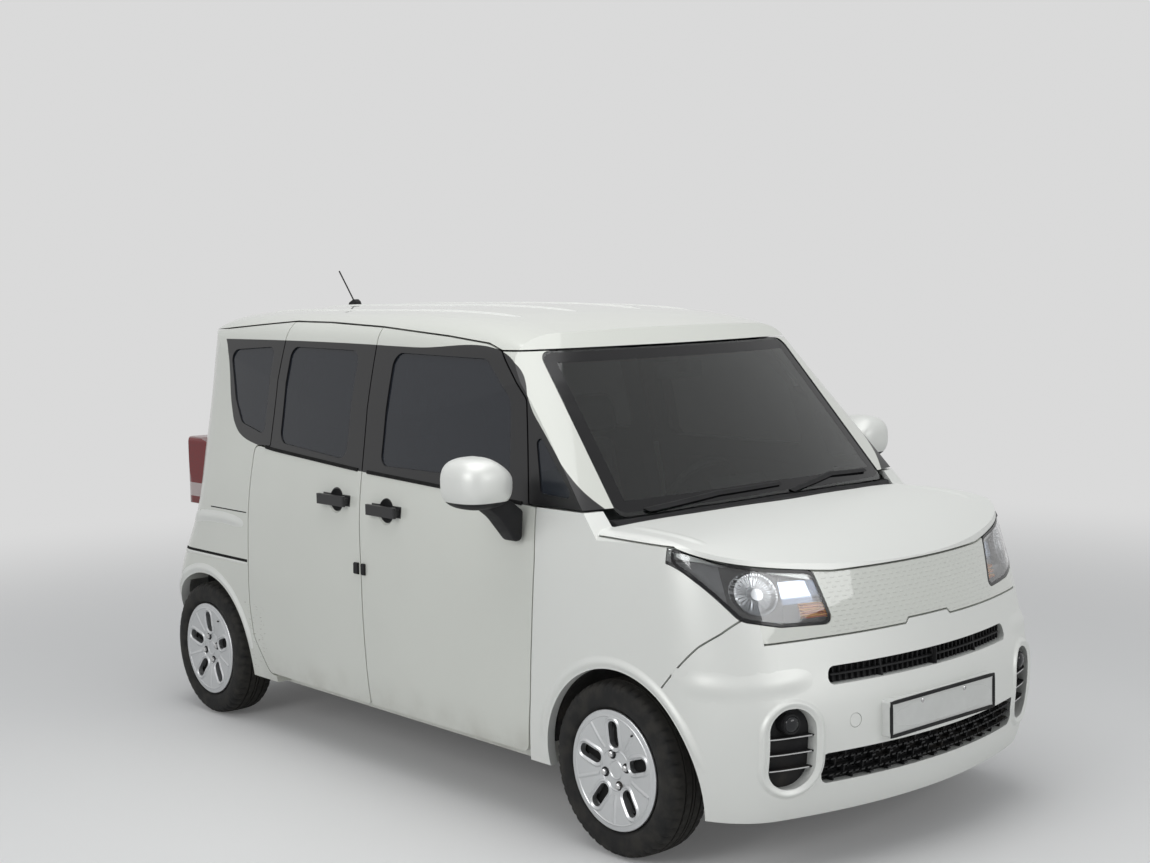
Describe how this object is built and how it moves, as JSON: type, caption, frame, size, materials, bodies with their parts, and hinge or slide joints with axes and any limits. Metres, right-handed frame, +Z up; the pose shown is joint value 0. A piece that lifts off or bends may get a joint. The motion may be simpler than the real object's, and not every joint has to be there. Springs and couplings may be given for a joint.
{
  "type": "kei car",
  "caption": "Tall-bodied light passenger car with swinging doors, one sliding door, a top-hinged tailgate and steered front wheels.",
  "frame": {"origin": "on the ground under the middle of the car's overall length and width", "axes": "+Z up, -Y towards the nose, -X towards the car's right side"},
  "size_m": [2.088, 3.6069, 1.8479],
  "materials": {
    "body_paint": "gloss white paint",
    "tinted_glass": "dark tinted",
    "lamp_lens": "clear lens",
    "red_lens": "clear red lens",
    "black_plastic": "grained black",
    "plate_metal": "blank plate",
    "underbody_steel": "primer and paint",
    "dark_steel": "black coated steel",
    "cast_iron": "as cast",
    "interior_plastic": "dark grained plastic",
    "seat_fabric": "woven cloth",
    "tyre": "worn rubber",
    "wheel_silver": "silver painted cover"
  },
  "bodies": {
    "body": {"sliding_door": "body_paint", "fender_right": "body_paint", "fender_left": "body_paint", "front_bumper": "body_paint", "front_panel": "body_paint", "roof_panel": "body_paint", "rear_bumper": "body_paint", "side_frame_right": "body_paint", "side_frame_left": "body_paint", "glass_sliding_door": "tinted_glass", "windscreen": "tinted_glass", "quarter_glass": "tinted_glass", "headlamps": "black_plastic", "headlamp_lenses": "lamp_lens", "fog_lamps": "black_plastic", "tail_lamps": "red_lens", "cowl": "black_plastic", "front_grilles": "black_plastic", "wipers": "black_plastic", "antenna": "black_plastic", "front_plate": "plate_metal", "floor_pan": "underbody_steel", "front_structure": "underbody_steel", "front_suspension": "dark_steel", "rear_axle": "dark_steel", "engine": "cast_iron", "exhaust": "dark_steel", "dashboard": "interior_plastic", "steering_wheel": "interior_plastic", "front_seats": "seat_fabric", "rear_seat": "seat_fabric"},
    "hood": {"hood": "body_paint"},
    "door_front_right": {"door_front_right": "body_paint", "glass_front_right": "tinted_glass", "mirror_right": "body_paint"},
    "door_front_left": {"door_front_left": "body_paint", "glass_front_left": "tinted_glass", "mirror_left": "body_paint"},
    "door_rear_left": {"door_rear_left": "body_paint", "glass_rear_left": "tinted_glass"},
    "tailgate": {"tailgate": "body_paint", "tailgate_glass": "tinted_glass", "rear_plate": "plate_metal", "rear_wiper": "black_plastic"},
    "knuckle_right": {"knuckle_right": "cast_iron"},
    "knuckle_left": {"knuckle_left": "cast_iron"},
    "wheel_front_right": {"tyre_front_right": "tyre", "wheel_front_right": "wheel_silver"},
    "wheel_front_left": {"tyre_front_left": "tyre", "wheel_front_left": "wheel_silver"},
    "wheel_rear_right": {"tyre_rear_right": "tyre", "wheel_rear_right": "wheel_silver"},
    "wheel_rear_left": {"tyre_rear_left": "tyre", "wheel_rear_left": "wheel_silver"}
  },
  "joints": [
    {"name": "hood_hinge", "type": "hinge", "parent": "body", "child": "hood", "pos_m": [0, -1.04, 1.03], "axis": [-1, 0, 0], "range_deg": [0, 48]},
    {"name": "door_front_right_hinge", "type": "hinge", "parent": "body", "child": "door_front_right", "pos_m": [-0.797, -0.763, 0.6], "axis": [0, 0, 1], "range_deg": [0, 65]},
    {"name": "door_front_left_hinge", "type": "hinge", "parent": "body", "child": "door_front_left", "pos_m": [0.797, -0.763, 0.6], "axis": [0, 0, -1], "range_deg": [0, 65]},
    {"name": "door_rear_left_hinge", "type": "hinge", "parent": "body", "child": "door_rear_left", "pos_m": [0.797, 0.216, 0.6], "axis": [0, 0, -1], "range_deg": [0, 70]},
    {"name": "tailgate_hinge", "type": "hinge", "parent": "body", "child": "tailgate", "pos_m": [0, 1.535, 1.64], "axis": [1, 0, 0], "range_deg": [0, 82]},
    {"name": "steer_right", "type": "hinge", "parent": "body", "child": "knuckle_right", "pos_m": [-0.65, -1.146, 0.277], "axis": [0, 0, 1], "range_deg": [-33, 33]},
    {"name": "steer_left", "type": "hinge", "parent": "body", "child": "knuckle_left", "pos_m": [0.65, -1.146, 0.277], "axis": [0, 0, 1], "range_deg": [-33, 33]},
    {"name": "spin_front_right", "type": "hinge", "parent": "knuckle_right", "child": "wheel_front_right", "pos_m": [-0.704, -1.146, 0.277], "axis": [1, 0, 0], "continuous": true},
    {"name": "spin_front_left", "type": "hinge", "parent": "knuckle_left", "child": "wheel_front_left", "pos_m": [0.704, -1.146, 0.277], "axis": [1, 0, 0], "continuous": true},
    {"name": "spin_rear_right", "type": "hinge", "parent": "body", "child": "wheel_rear_right", "pos_m": [-0.704, 1.374, 0.277], "axis": [1, 0, 0], "continuous": true},
    {"name": "spin_rear_left", "type": "hinge", "parent": "body", "child": "wheel_rear_left", "pos_m": [0.704, 1.374, 0.277], "axis": [1, 0, 0], "continuous": true}
  ],
  "couplings": [
    {"joint": "steer_left", "follows": "steer_right", "ratio": 1}
  ]
}
